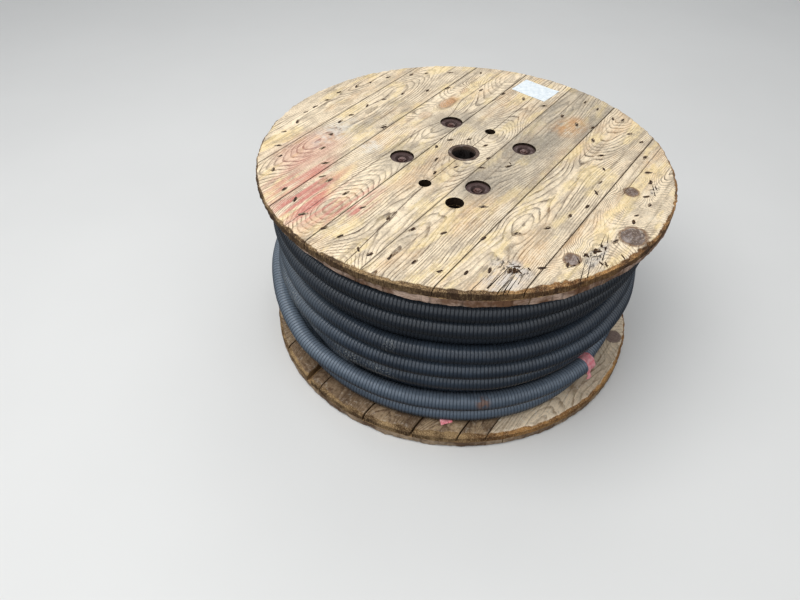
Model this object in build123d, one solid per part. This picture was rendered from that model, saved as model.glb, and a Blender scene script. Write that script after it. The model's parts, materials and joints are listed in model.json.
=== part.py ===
from build123d import *
import math
import os

# A wooden cable drum that lies on one flange with its axis upright, full of armoured cable.
# The origin is the centre of the lower flange's outer face, on the floor, and +Z is the drum's axis.
# Each flange is two crossed plies of boards, nailed and sawn round. Four tie bolts pull the flanges
# onto the staves of the barrel, and a steel bushing lines the shaft hole in each flange.
# All sizes are in millimetres.

# flanges
flange_diameter = 1066.8
ply_thickness = 22.2
traverse = 457.2            # between the inner faces of the flanges
rim_wear = 2.5              # chamfer on the outer edge of each flange
board_arris = 1.0           # chamfer along the edges of each board
least_board = 40.0          # a narrower strip isn't laid at the rim

# boards: their direction counts from +X, and a seam's place is across the boards
grain_direction = 61.5
board_width = 152.4
board_gap = 2.0
middle_board = 4            # the number of the board over the axis; those of a wider flange count on
top_outer_shift = -8.0
top_inner_shift = 12.0
bottom_outer_shift = 18.0
# the lower inner ply is laid from odd widths: the middle of each seam and its gap
bottom_inner_seams = [(-405, 3), (-255, 4), (-135, 18), (-87, 3), (64, 5), (193, 6), (297, 4), (356, 2)]
middle_odd_board = 5

# shaft hole with its bushing
shaft_bore = 63.5
bushing_wall = 3.25
bushing_collar_diameter = 82.0
bushing_collar_thickness = 2.5
bushing_clearance = 0.2

# tie bolts on the corners of a square, each in a cup washer sunk in the outer ply
bolt_to_stave = 13.2        # the bolts run this far inside the barrel's wall
bolt_turn = -1.5            # the square is this far out of line with the boards
bolt_diameter = 12.7
bolt_hole_clearance = 0.8
bolt_end_depth = 5.0        # the thread's end lies this far under the flange's face
nut_across_flats = 19.0
nut_thickness = 11.0
bolt_head_thickness = 8.0
recess_diameter = 62.0
recess_depth = 9.0          # to the step that carries the washer's rim
washer_thickness = 3.0
washer_clearance = 1.0
cup_mouth_diameter = 42.0
cup_floor_diameter = 30.0

# holes in the upper flange: radius from the axis, angle from the boards' cross direction, diameter
drive_hole_near = (136.0, 89.5, 29.0)
drive_hole_far = (178.5, -90.5, 32.0)
# the hole for the cable's inner end comes out just beside the barrel
start_hole_diameter = 45.0
start_hole_angle = -64.0
start_hole_to_barrel = 2.8

# barrel of staves that sit in a groove in each inner ply
barrel_diameter = 406.4
stave_thickness = 22.0
stave_count = 14
stave_gap = 1.0
groove_depth = 9.5
groove_clearance = 0.5

# cable: tight layers wound on the barrel, and loose ones that have slid forward off the drum's axis
cable_diameter = 48.0
turn_flats = 8
winding_clearance = 0.5     # to the barrel and to the flanges
layer_count = 7
tight_layers = 4
layer_pitch = 46.5
end_groove = 12.0           # depth of the grooves between the layers on the winding's ends
valley_rise = 8.0           # the groove between two turns is this far outside their middle
loose_shift = 28.0
loose_clearance = 3.0       # the loose layers' ends lie this much deeper than the tight ones'
# the turns side by side in the outermost layer: each one's place between the flanges, 0 to 1 from
# the lowest up, and how far it stands out in front
outer_turns = [(0.400, -4.0), (0.517, 0.0), (0.646, 0.0), (0.749, -23.0), (0.852, 0.0), (0.970, -1.0)]
# the lowest turn and the last one, which lies on it: how far they have slid and stand out in front
lowest_shift = 20.0
lowest_turn_offset = -37.0
last_turn_offset = -32.0
last_turn_clearance = 0.3
last_turn_end = -45.0       # direction of the cable's outer end, counted from +X
last_turn_sweep = 300.0
cap_length = 30.0
cap_rounding = 9.0
cap_clearance = 0.3         # to the turns that it lies on

flange_radius = flange_diameter / 2
flange_thickness = 2 * ply_thickness
overall_height = 2 * flange_thickness + traverse
inner_face_low = flange_thickness
inner_face_high = flange_thickness + traverse
across_boards = grain_direction - 90
along_ends = across_boards + 90
barrel_radius = barrel_diameter / 2
bolt_radius = barrel_radius - stave_thickness - bolt_to_stave - bolt_diameter / 2
start_hole_radius = barrel_radius + start_hole_to_barrel + start_hole_diameter / 2
cable_radius = cable_diameter / 2
cap_angle = math.degrees(cap_length / (barrel_radius + layer_count * layer_pitch))

base_up = (Align.CENTER, Align.CENTER, Align.MIN)


def post(radius, low, high, at=(0, 0)):
    """An upright cylinder."""
    return Pos(at[0], at[1], low) * Cylinder(radius, high - low, align=base_up)


def polar(radius, degrees):
    """A place on a circle about the drum's axis, counted from the boards' cross direction."""
    angle = math.radians(across_boards + degrees)
    return radius * math.cos(angle), radius * math.sin(angle)


def turned(profile, start=0.0, sweep=360.0):
    """A solid turned about the drum's axis from a face in the XZ plane."""
    return Rot(0, 0, start) * revolve(profile, Axis.Z, sweep)


def quad(points):
    """A face in the XZ plane from corners given as (radius, height)."""
    return Plane.XZ * make_face(Polyline(*points, close=True))


def ring_section(radius, height, size):
    """A cable's section in the XZ plane, drawn with flats as far out as the round is."""
    corner = size / math.cos(math.pi / turn_flats)
    return Plane.XZ * Pos(radius, height) * Rot(0, 0, 180 / turn_flats) * RegularPolygon(corner, turn_flats)


def even_seams(shift):
    """Seams of a ply of equal boards, shifted across the boards."""
    reach = math.ceil(flange_diameter / board_width)
    return [(shift + (k + 0.5) * board_width, board_gap) for k in range(-reach, reach)]


def seams_within(seams):
    """The seams that leave a board of a usable width at the rim."""
    return [(place, gap) for place, gap in seams if abs(place) < flange_radius - least_board]


def ply_boards(low, turn, seams, worn_face, cuts):
    """The boards of one ply, sawn round, with the flange's holes cut through them."""
    disc = post(flange_radius, low, low + ply_thickness)
    if worn_face:
        rim = disc.edges().sort_by(Axis.Z)[-1 if worn_face > 0 else 0]
        disc = chamfer(rim, rim_wear)
    edges = [-flange_radius - board_arris]
    for middle, gap in seams:
        edges += [middle - gap / 2, middle + gap / 2]
    edges.append(flange_radius + board_arris)
    boards = []
    for left, right in zip(edges[0::2], edges[1::2]):
        section = Rectangle(right - left, ply_thickness, align=(Align.MIN, Align.MIN))
        section = chamfer(section.vertices(), board_arris)
        bar = extrude(Plane.XZ * section, amount=flange_radius, both=True)
        board = disc & (Rot(0, 0, turn) * Pos(left, 0, low) * bar)
        for cut in cuts:
            board -= cut
        boards.append(board)
    return boards


def bolt_places():
    return [polar(bolt_radius, bolt_turn + 45 + 90 * k) for k in range(4)]


def flange_cuts(inner_face, outward, extra_holes):
    """Cutters for a flange: shaft hole, collar seat, bolt holes and recesses, and the barrel's groove."""
    outer_face = inner_face + outward * flange_thickness
    over = outer_face + outward

    def span(depth):
        return sorted((outer_face - outward * depth, over))

    whole = sorted((inner_face - outward, over))
    cuts = [
        post(shaft_bore / 2 + bushing_wall + bushing_clearance, *whole),
        post(bushing_collar_diameter / 2 + bushing_clearance, *span(bushing_collar_thickness)),
    ]
    for place in bolt_places():
        cuts.append(post(bolt_diameter / 2 + bolt_hole_clearance, *whole, place))
        cuts.append(post(recess_diameter / 2, *span(recess_depth), place))
        cuts.append(post(cup_mouth_diameter / 2 + washer_clearance, *span(ply_thickness), place))
    for radius, degrees, diameter in extra_holes:
        cuts.append(post(diameter / 2, *whole, polar(radius, degrees)))
    groove = sorted((inner_face - outward, inner_face + outward * groove_depth))
    inner_wall = barrel_radius - stave_thickness - groove_clearance
    cuts.append(post(barrel_radius + groove_clearance, *groove) - post(inner_wall, *groove))
    return cuts


def bushing(outer_face, outward):
    """A steel tube through both plies with a collar let into the outer one."""
    bore = shaft_bore / 2
    inner_end = outer_face - outward * flange_thickness
    collar_seat = outer_face - outward * bushing_collar_thickness
    tube = quad([(bore, inner_end), (bore + bushing_wall, inner_end),
                 (bore + bushing_wall, outer_face), (bore, outer_face)])
    collar = quad([(bore, collar_seat), (bushing_collar_diameter / 2, collar_seat),
                   (bushing_collar_diameter / 2 - 1, outer_face), (bore, outer_face)])
    return turned(tube + collar)


def cup_washer(outer_face, outward):
    """A pressed washer: a flat rim on the recess's step, a cone and a floor on the inner ply."""
    def depth(down):
        return outer_face - outward * down

    rim = recess_diameter / 2 - washer_clearance
    mouth = cup_mouth_diameter / 2
    floor = cup_floor_diameter / 2
    hole = bolt_diameter / 2 + bolt_hole_clearance
    section = quad([
        (rim, depth(recess_depth)), (mouth, depth(recess_depth)), (floor, depth(ply_thickness)),
        (hole, depth(ply_thickness)), (hole, depth(ply_thickness - washer_thickness)),
        (floor - washer_thickness, depth(ply_thickness - washer_thickness)),
        (mouth - washer_thickness, depth(recess_depth - washer_thickness)),
        (rim, depth(recess_depth - washer_thickness)),
    ])
    return turned(section)


def hexagon(low, height, at):
    corner = nut_across_flats / math.sqrt(3)
    return Pos(at[0], at[1], low) * extrude(RegularPolygon(corner, 6), height)


def tie_bolt(at):
    """A bolt from the lower cup to just under the upper face, its head below."""
    head_top = ply_thickness - washer_thickness
    shank = post(bolt_diameter / 2, head_top - bolt_head_thickness / 2, overall_height - bolt_end_depth, at)
    return hexagon(head_top - bolt_head_thickness, bolt_head_thickness, at) + shank


def tie_nut(at):
    seat = overall_height - ply_thickness + washer_thickness
    return hexagon(seat, nut_thickness, at) - post(bolt_diameter / 2, seat - 1, seat + nut_thickness + 1, at)


def barrel_staves():
    """Staves of a ring, held by their ends in the grooves of the two flanges."""
    inner = barrel_radius - stave_thickness
    low = inner_face_low - groove_depth
    high = inner_face_high + groove_depth
    section = quad([(inner, low), (barrel_radius, low), (barrel_radius, high), (inner, high)])
    step = 360 / stave_count
    sweep = step - math.degrees(stave_gap / barrel_radius)
    return [turned(section, step * k, sweep) for k in range(stave_count)]


def layer_radii():
    """The radius of each layer's middle in front."""
    first_layer = barrel_radius + winding_clearance + cable_radius
    return [first_layer + layer * layer_pitch for layer in range(layer_count)]


def wound_section(bore, layers, low, high):
    """The section of whole layers. Each end shows one ridge for every layer."""
    low_end, high_end = [], []
    for crest in layers:
        for radius, drop in ((crest - layer_pitch / 2, end_groove), (crest, 0)):
            low_end.append((max(radius, bore), low - cable_radius + drop))
            high_end.append((max(radius, bore), high + cable_radius - drop))
    wall = layers[-1] + valley_rise
    return quad(low_end + [(wall, low), (wall, high)] + high_end[::-1])


def slid(distance, solid):
    """A solid that has slid forward off the drum's axis."""
    return Pos(0, -distance, 0) * solid


def cable_winding():
    """The winding with its bore: tight layers, loose ones, and the two lowest turns laid against them."""
    low = inner_face_low + winding_clearance + cable_radius
    high = inner_face_high - winding_clearance - cable_radius
    layers = layer_radii()
    winding = turned(wound_section(barrel_radius + winding_clearance, layers[:tight_layers], low, high))

    # the loose layers reach back into the outermost tight one
    tight, *loose_layers = [radius - loose_shift for radius in layers[tight_layers - 1:]]
    under_layer, outer_layer = loose_layers[-2:]
    loose_low, loose_high = low + loose_clearance, high - loose_clearance
    section = wound_section(0, loose_layers[:-1], loose_low, loose_high)
    section += quad([(tight, loose_low), (under_layer, loose_low), (under_layer, loose_high), (tight, loose_high)])
    turns = [(outer_layer + out, low + share * (high - low)) for share, out in outer_turns]
    for radius, height in turns:
        section += ring_section(radius, height, cable_radius)
    for (radius_a, height_a), (radius_b, height_b) in zip(turns, turns[1:]):
        section += quad([(under_layer, height_a), (radius_a + valley_rise, height_a),
                         (radius_b + valley_rise, height_b), (under_layer, height_b)])
    winding += slid(loose_shift, turned(section))

    lowest_radius = layers[-1] + lowest_turn_offset - lowest_shift
    winding += slid(lowest_shift, turned(ring_section(lowest_radius, low, cable_radius)))
    nest = turned(last_turn_section(cable_radius + cap_clearance), last_turn_end, cap_angle)
    start = last_turn_end - last_turn_sweep
    last_turn = turned(last_turn_section(cable_radius), start, last_turn_sweep)
    return winding - slid(lowest_shift, nest) + slid(lowest_shift, last_turn)


def last_turn_section(size):
    """The section of the last turn, which lies on the lowest one."""
    radius = layer_radii()[-1] + last_turn_offset - lowest_shift
    height = inner_face_low + winding_clearance + cable_radius + cable_diameter + last_turn_clearance
    return ring_section(radius, height, size)


def cable_end_cap():
    """A soft cap on the cable's outer end, bent with the last turn, its far edge rounded."""
    cap = turned(last_turn_section(cable_radius), last_turn_end, cap_angle)
    far_edge = cap.edges().sort_by_distance(Vector(*cap_far_point()))[0]
    return slid(lowest_shift, fillet(far_edge, cap_rounding))


def cap_far_point():
    """A point by the cap's far end, well above the floor."""
    radius = barrel_radius + (layer_count - 1) * layer_pitch - lowest_shift
    angle = math.radians(last_turn_end + 2 * cap_angle)
    return radius * math.cos(angle), radius * math.sin(angle), inner_face_low + cable_diameter


def write(name, solid):
    solid.label = name
    export_step(solid, f"parts/{name}.step")


os.makedirs("parts", exist_ok=True)

start_hole = (start_hole_radius, start_hole_angle, start_hole_diameter)
top_cuts = flange_cuts(inner_face_high, 1, [drive_hole_near, drive_hole_far, start_hole])
bottom_cuts = flange_cuts(inner_face_low, -1, [])
top_outer_low = overall_height - ply_thickness
plies = [
    ("top_outer_board", middle_board, top_outer_low, across_boards, even_seams(top_outer_shift), 1, top_cuts),
    ("top_inner_board", middle_board, inner_face_high, along_ends, even_seams(top_inner_shift), 0, top_cuts),
    ("bottom_inner_board", middle_odd_board, ply_thickness, across_boards, bottom_inner_seams, 0, bottom_cuts),
    ("bottom_outer_board", middle_board, 0, along_ends, even_seams(bottom_outer_shift), -1, bottom_cuts),
]
for ply_name, middle_number, low, turn, all_seams, worn_face, cuts in plies:
    seams = seams_within(all_seams)
    first_number = middle_number - sum(place < 0 for place, gap in seams)
    for number, board in enumerate(ply_boards(low, turn, seams, worn_face, cuts), first_number):
        write(f"{ply_name}_{number}", board)

for number, stave in enumerate(barrel_staves(), 1):
    write(f"barrel_stave_{number:02d}", stave)

write("top_bushing", bushing(overall_height, 1))
write("bottom_bushing", bushing(0, -1))

for flange_name, face, outward in (("top", overall_height, 1), ("bottom", 0, -1)):
    washers = [Pos(*place, 0) * cup_washer(face, outward) for place in bolt_places()]
    write(f"{flange_name}_cup_washers", Compound(children=washers))
for number, place in enumerate(bolt_places(), 1):
    write(f"tie_bolt_{number}", tie_bolt(place))
    write(f"tie_nut_{number}", tie_nut(place))

write("cable_winding", cable_winding())
write("cable_end_cap", cable_end_cap())
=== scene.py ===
import json
import math
import random

import bpy
from mathutils import Matrix, Vector

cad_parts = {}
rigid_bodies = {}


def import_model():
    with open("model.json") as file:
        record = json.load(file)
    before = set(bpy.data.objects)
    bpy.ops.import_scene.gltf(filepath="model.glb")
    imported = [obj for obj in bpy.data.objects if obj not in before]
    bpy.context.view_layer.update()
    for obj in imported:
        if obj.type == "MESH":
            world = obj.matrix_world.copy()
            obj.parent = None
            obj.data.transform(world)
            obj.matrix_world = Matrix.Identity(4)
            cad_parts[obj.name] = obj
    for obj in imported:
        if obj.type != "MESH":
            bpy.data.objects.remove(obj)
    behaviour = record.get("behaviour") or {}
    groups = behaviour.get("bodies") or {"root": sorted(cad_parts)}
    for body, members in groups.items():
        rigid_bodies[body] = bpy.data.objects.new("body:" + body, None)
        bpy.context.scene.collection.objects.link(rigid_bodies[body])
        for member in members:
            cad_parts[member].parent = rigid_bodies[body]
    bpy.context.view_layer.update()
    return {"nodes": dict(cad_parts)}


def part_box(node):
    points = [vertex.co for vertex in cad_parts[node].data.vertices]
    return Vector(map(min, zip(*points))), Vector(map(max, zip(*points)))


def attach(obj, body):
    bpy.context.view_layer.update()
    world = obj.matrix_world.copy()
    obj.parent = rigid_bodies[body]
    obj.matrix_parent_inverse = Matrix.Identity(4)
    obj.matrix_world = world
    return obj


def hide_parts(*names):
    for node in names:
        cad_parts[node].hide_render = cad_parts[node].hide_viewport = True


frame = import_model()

# A wooden cable drum lying on one flange, full of ribbed cable. All lengths are in metres.
# Places on the flanges are given in flange radii, as (across, along) the boards of the upper flange.
# Azimuths count in degrees from the front (-Y), positive to the right.

low_corner, high_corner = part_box("top_outer_board_4")
top = high_corner[2]
ply = high_corner[2] - low_corner[2]
upper_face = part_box("top_inner_board_4")[0][2]       # the inner face of the upper flange
lower_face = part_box("bottom_inner_board_5")[1][2]    # the inner face of the lower flange
radius = 0.5334
grain = math.radians(61.5)
board_width = 0.1524
random.seed(7)


def on_boards(across, along):
    """The x and y of a place given in flange radii across and along the upper boards."""
    x = across * math.sin(grain) + along * math.cos(grain)
    y = -across * math.cos(grain) + along * math.sin(grain)
    return x * radius, y * radius


def around(azimuth, distance, height):
    """A point by azimuth, distance from the axis and height, both in flange radii."""
    a = math.radians(azimuth)
    return Vector((distance * radius * math.sin(a), -distance * radius * math.cos(a), height * radius))


def between(table, key, column=1):
    """Reads one column of a table of rows at a key, straight between the rows."""
    if key <= table[0][0]:
        return table[0][column]
    for row, following in zip(table, table[1:]):
        if key <= following[0]:
            share = (key - row[0]) / (following[0] - row[0])
            return row[column] + share * (following[column] - row[column])
    return table[-1][column]


# shader nodes

def operation(name, swapped=False):
    """A method of a wire that adds a Math node."""
    def method(wire, *others):
        values = (wire, *others)
        return wire.math(name, *(values[::-1] if swapped else values))
    return method


class Wire:
    """One output of a node. Arithmetic on it adds Math nodes."""

    def __init__(self, nodes, socket):
        self.nodes = nodes
        self.socket = socket

    def math(self, name, *values, clamp=False):
        return self.nodes.add("Math", {"operation": name, "use_clamp": clamp}, dict(enumerate(values)))

    __add__ = __radd__ = operation("ADD")
    __sub__ = operation("SUBTRACT")
    __rsub__ = operation("SUBTRACT", swapped=True)
    __mul__ = __rmul__ = operation("MULTIPLY")
    __truediv__ = operation("DIVIDE")
    __gt__ = operation("GREATER_THAN")
    smaller = operation("MINIMUM")
    root = operation("SQRT")
    fraction = operation("FRACT")
    size = operation("ABSOLUTE")

    def limited(self, added=0):
        return self.math("ADD", self, added, clamp=True)

    def ease(self, start, end, low=0, high=1):
        """Goes smoothly from low to high as this value goes from start to end."""
        values = {"Value": self, "From Min": start, "From Max": end, "To Min": low, "To Max": high}
        return self.nodes.add("MapRange", {"interpolation_type": "SMOOTHSTEP"}, values)


class Nodes:
    """The nodes of a material or of the world."""

    def __init__(self, owner):
        owner.use_nodes = True
        self.tree = owner.node_tree

    def add(self, kind, settings=None, values=None, output=0):
        """A node of a kind, with its settings and its sockets' values, and the wire of one output."""
        node = self.tree.nodes.new("ShaderNode" + kind)
        for name, value in (settings or {}).items():
            setattr(node, name, value)
        self.feed(node, values or {})
        return Wire(self, node.outputs[output])

    def feed(self, node, values):
        for name, value in values.items():
            if isinstance(value, Wire):
                self.tree.links.new(value.socket, node.inputs[name])
            else:
                node.inputs[name].default_value = value

    def vector(self, x, y, z=0):
        return self.add("CombineXYZ", None, {0: x, 1: y, 2: z})

    def parts(self, vector):
        node = self.add("SeparateXYZ", None, {0: vector}).socket.node
        return [Wire(self, output) for output in node.outputs]

    def mix(self, share, first, second, mode="MIX"):
        """A colour between two colours."""
        settings = {"data_type": "RGBA", "blend_type": mode}
        return self.add("Mix", settings, {0: share, 6: first, 7: second}, 2)


class Finish(Nodes):
    """A new material, its colour laid on in coats."""

    def __init__(self, name):
        self.material = bpy.data.materials.new(name)
        super().__init__(self.material)
        self.shader = self.tree.nodes["Principled BSDF"]
        self.place = self.add("TexCoord", output="Object")

    def noise(self, scale, detail=2, roughness=0.5, vector=None):
        """Noise over the surface, or over another vector."""
        values = {"Vector": vector or self.place, "Scale": scale, "Detail": detail, "Roughness": roughness}
        return self.add("TexNoise", None, values, "Fac")

    def start(self, share, first, second):
        """The first coat, between two colours."""
        self.colour = self.mix(share, first, second)

    def over(self, share, *tint):
        """One more coat: a share of a colour as seen on a screen."""
        self.colour = self.mix(share, self.colour, paint(*tint))

    def near(self, point, start, end):
        """Rises from 0 to 1 as the distance from a point falls from start to end."""
        away = self.add("VectorMath", {"operation": "DISTANCE"}, {0: self.place, 1: point}, "Value")
        return away.ease(start, end)

    def bump(self, height, distance):
        normal = self.add("Bump", None, {"Height": height, "Distance": distance, "Strength": 1}, "Normal")
        self.feed(self.shader, {"Normal": normal})

    def done(self, roughness, metallic=0, specular=0.5):
        self.feed(self.shader, {"Base Color": self.colour, "Roughness": roughness, "Metallic": metallic,
                                "Specular IOR Level": specular})
        return self.material


def paint(red, green, blue):
    """A colour as seen on a screen, 0 to 255, for a shader's socket."""
    def linear(value):
        value /= 255
        return value / 12.92 if value <= 0.04045 else ((value + 0.055) / 1.055) ** 2.4
    return linear(red), linear(green), linear(blue), 1.0


# pine boards

even_seams = [(k + 0.5) * board_width for k in range(-3, 3)]
top_outer_seams = [-0.008 + s for s in even_seams]
top_inner_seams = [0.012 + s for s in even_seams]
bottom_outer_seams = [0.018 + s for s in even_seams]
bottom_inner_seams = [-0.405, -0.255, -0.135, -0.087, 0.064, 0.193, 0.297, 0.356]
along_turn = math.pi / 2 - grain
ring_spacing = 0.0038

# knots of the upper face: across, along, half width, half length, how far the rings swerve
top_knots = [
    (-0.36, 0.20, 0.030, 0.045, 0.032), (-0.34, 0.38, 0.034, 0.060, 0.030),
    (-0.34, 0.57, 0.018, 0.035, 0.020), (0.785, 0.165, 0.030, 0.032, 0.022),
    (0.91, -0.145, 0.050, 0.058, 0.030), (0.765, -0.435, 0.031, 0.036, 0.022),
    (-0.385, -0.598, 0.014, 0.026, 0.060),
]
# for each knot, how strongly it is painted, and how grey
knot_paint = [(0.25, 0), (0.5, 0), (0.3, 0), (1, 0.8), (1, 0.9), (1, 0.85), (0.35, 0)]
bolt_spots = [(-0.205, 0.223), (0.222, 0.213), (-0.225, -0.21), (0.207, -0.218)]


class Pine(Finish):
    """Wood of boards, sawn flat: the rings of a log cut by each board's face."""

    def __init__(self, name, turn, seams, knots=()):
        super().__init__(name)
        mapping = self.add("Mapping", None, {"Vector": self.place, "Rotation": (0, 0, turn)})
        self.u, self.v, self.w = self.parts(mapping)
        edges = [seams[0] - board_width, *seams, seams[-1] + board_width]
        middles = [(a + b) / 2 for a, b in zip(edges, edges[1:])]
        self.board = self.u * 0
        middle = self.u * 0 + middles[0]
        self.seam = self.u * 0 + 1
        for k, seam in enumerate(seams):
            past = self.u > seam
            self.board = self.board + past
            middle = middle + past * (middles[k + 1] - middles[k])
            self.seam = self.seam.smaller((self.u - seam).size())
        chance = self.add("TexWhiteNoise", {"noise_dimensions": "1D"}, {"W": self.board + 3.7}, "Color")
        self.chance = self.parts(chance)
        self.grow(middle, knots)

    def drawn(self, across, along, shift, detail=2, roughness=0.5):
        """Noise with a scale of its own across and along the boards."""
        return self.noise(1, detail, roughness, self.vector(self.u * across, self.v * along, shift))

    def off(self, across, along, half, length):
        """How far a place is from a spot on the face, counted in the spot's own half sizes."""
        du = (self.u - across * radius) / (half * radius)
        dv = (self.v - along * radius) / (length * radius)
        return (du * du + dv * dv).root()

    def spot(self, across, along, half, length, whole=0.3, edge=1):
        """1 in the middle of a spot, 0 outside it."""
        return self.off(across, along, half, length).ease(edge, whole)

    def grow(self, middle, knots):
        """The rings, swerving round the knots, and the fibres, streaks and patches."""
        away = self.board * 5.3
        pith = (self.chance[0] - 0.5) * 0.10
        rise = self.noise(1, 1.5, vector=self.vector(self.v * 1.6, away))
        depth = 0.015 + self.chance[1] * 0.05 + (rise - 0.35).size() * 0.22
        across = self.u - middle - pith
        rings = (across * across + depth * depth).root()
        wave = self.drawn(9, 2.2, away)
        ripple = self.drawn(55, 9, away)
        tremble = self.drawn(210, 34, away)
        rings = rings + wave * 0.032 + ripple * 0.0034 + tremble * 0.0009
        self.knots = []
        for *spot, swerve in knots:
            off = self.off(*spot)
            rings = rings + off.ease(4.2, 0.6, 0, swerve)
            self.knots.append(off)
        saw = (rings / (ring_spacing * (0.75 + self.chance[2] * 0.6))).fraction()
        force = self.drawn(16, 4, away + 2, 3, 0.6).ease(0.36, 0.60, 0.40, 1)
        breaks = self.drawn(90, 14, away + 7, 3, 0.6).ease(0.36, 0.58, 0.45, 1)
        ring_end = saw.ease(1, 0.95)
        self.band = saw.ease(0.2, 0.9) * ring_end
        self.late = saw.ease(0.60, 0.88) * ring_end * force * breaks
        self.fibre = self.drawn(900, 16, self.w * 500, 3, 0.6)
        self.streak = self.drawn(130, 3.5, away, 4, 0.6)
        self.patch = self.drawn(11, 4, away, 5, 0.6)

    def wood(self, pale, late, contrast):
        """Early wood darkened along each ring, with fine fibres and a tone for each board."""
        colour = self.mix(self.band * 0.20, pale, late)
        colour = self.mix(self.late * contrast, colour, late)
        colour = self.mix(self.streak.ease(0.50, 0.72) * 0.62, colour, late)
        tone = 0.79 + self.chance[0] * 0.10 + self.fibre * 0.26
        return self.mix(1, colour, self.vector(tone, tone, tone), "MULTIPLY")

    def groove(self):
        """Dark dirt in the seams, and the relief of rings and fibres."""
        self.over(self.seam.ease(0.0032, 0.0009) * 0.6, 60, 44, 31)
        self.bump(self.fibre * 0.5 - self.late * 0.6 + self.streak * 0.8, 0.0005)

    def tear(self, face, dirt):
        """Where the surface lies below the board's face, it is torn or sawn: rim wood."""
        depth = face - self.w
        lines = self.drawn(60, 60, self.w * 420, 4, 0.65)
        fur = self.drawn(460, 460, self.w * 90, 3, 0.7)
        blotch = self.noise(16, 5, 0.65)
        speck = self.noise(420, 4, 0.75)
        rusty = self.parts(self.place)[0].ease(0.02, 0.22)
        pale = self.mix(rusty, paint(160, 132, 94), paint(196, 146, 88))
        deep = self.mix(rusty, paint(92, 70, 46), paint(122, 82, 46))
        whole = self.colour
        self.start(blotch.ease(0.38, 0.58), pale, deep)
        self.over(lines.ease(0.42, 0.66) * 0.7 * dirt, 66, 48, 32)
        self.over(fur.ease(0.52, 0.64) * 0.6, 216, 186, 140)
        self.over(depth.ease(0.004, 0.010) * 0.65 * dirt, 64, 46, 30)
        self.over(fur.ease(0.47, 0.38) * 0.75 * dirt, 42, 29, 19)
        self.over(blotch.ease(0.55, 0.64) * 0.7 * dirt, 48, 32, 20)
        edge = 0.0012 + (speck - 0.5) * 0.0022
        self.colour = self.mix((depth - edge).ease(-0.0003, 0.0010), whole, self.colour)


def weather(wood, mottle):
    """Orange tones and greyed patches."""
    wood.over(wood.patch.ease(0.48, 0.70) * 0.50, 214, 170, 118)
    cloud = wood.noise(9, 5, 0.7)
    wood.over(cloud.ease(0.48, 0.66) * 0.48, 156, 143, 126)
    gold = wood.drawn(20, 6, 12, 4, 0.6)
    wood.over(gold.ease(0.50, 0.62) * 0.55, 244, 218, 158)
    wood.over(mottle.ease(0.50, 0.62) * 0.52, 166, 150, 130)
    wood.over(mottle.ease(0.47, 0.34) * 0.40, 244, 230, 204)
    grey = wood.drawn(26, 7, 4.1, 6, 0.65)
    grey_board = (wood.board - 4).size().ease(0.9, 0.1) * wood.v.ease(-0.22, 0.02)
    greyness = grey.ease(0.50, 0.72) * 0.45 + grey_board * grey.ease(0.30, 0.60) * 0.75
    for place in bolt_spots:
        greyness = greyness + wood.spot(*place, 0.13, 0.19, 0.35) * 0.55
    greyness = greyness + wood.spot(-0.57, 0.1, 0.16, 0.42, 0.2) * grey.ease(0.42, 0.6) * 0.5
    wood.over(greyness.limited() * 0.78, 138, 129, 116)
    wood.over(wood.spot(0.05, 0.12, 0.60, 0.85) * 0.17, 148, 146, 138)
    orange = wood.spot(0.31, 0.55, 0.11, 0.16) + wood.spot(-0.34, 0.42, 0.05, 0.12, 0.2)
    wood.over((orange * mottle.ease(0.30, 0.60)).limited() * 0.75, 196, 144, 90)


def paint_stains(wood, dust):
    """A pink stain in streaks, and pale smudges of dust."""
    streaks = wood.drawn(60, 3, 9, 3)
    pink = wood.spot(-0.43, -0.66, 0.22, 0.34, 0.15) * streaks.ease(0.36, 0.62)
    pink = pink + wood.spot(-0.62, -0.42, 0.18, 0.30) * 0.45
    pink = pink + wood.spot(-0.13, -0.69, 0.028, 0.055, 0.4, 1.1) * streaks.ease(0.26, 0.5)
    pink = pink + wood.spot(-0.15, -0.66, 0.10, 0.26, 0.2) * streaks.ease(0.46, 0.6) * 0.7
    pink = pink + wood.spot(-0.30, -0.78, 0.20, 0.22) * streaks.ease(0.44, 0.6) * 0.8
    wood.over(pink.limited() * 0.80, 200, 116, 108)
    smudge = wood.spot(-0.63, -0.22, 0.10, 0.22) + wood.spot(-0.40, -0.22, 0.08, 0.10)
    wood.over((smudge * dust.ease(0.40, 0.60)).limited() * 0.65, 222, 218, 208)


def paint_knots(wood, mottle, dust):
    """Red-brown and grey knots, ringed, each with a dark edge."""
    for off, (force, grey) in zip(wood.knots, knot_paint):
        off = off + (dust - 0.5) * 0.9
        rings = (off * 3.1).fraction()
        brown = wood.mix(rings.ease(0.2, 0.9), paint(196, 138, 92), paint(128, 84, 56))
        stone = wood.mix(mottle.ease(0.38, 0.58), paint(156, 150, 148), paint(92, 84, 80))
        stone = wood.mix(rings * 0.3, stone, paint(70, 58, 50))
        wood.colour = wood.mix(off.ease(1.08, 0.90) * force, wood.colour, wood.mix(grey, brown, stone))
        wood.over(off.ease(0.90, 1.02) * off.ease(1.34, 1.10) * 0.8 * force, 104, 70, 44)


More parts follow.
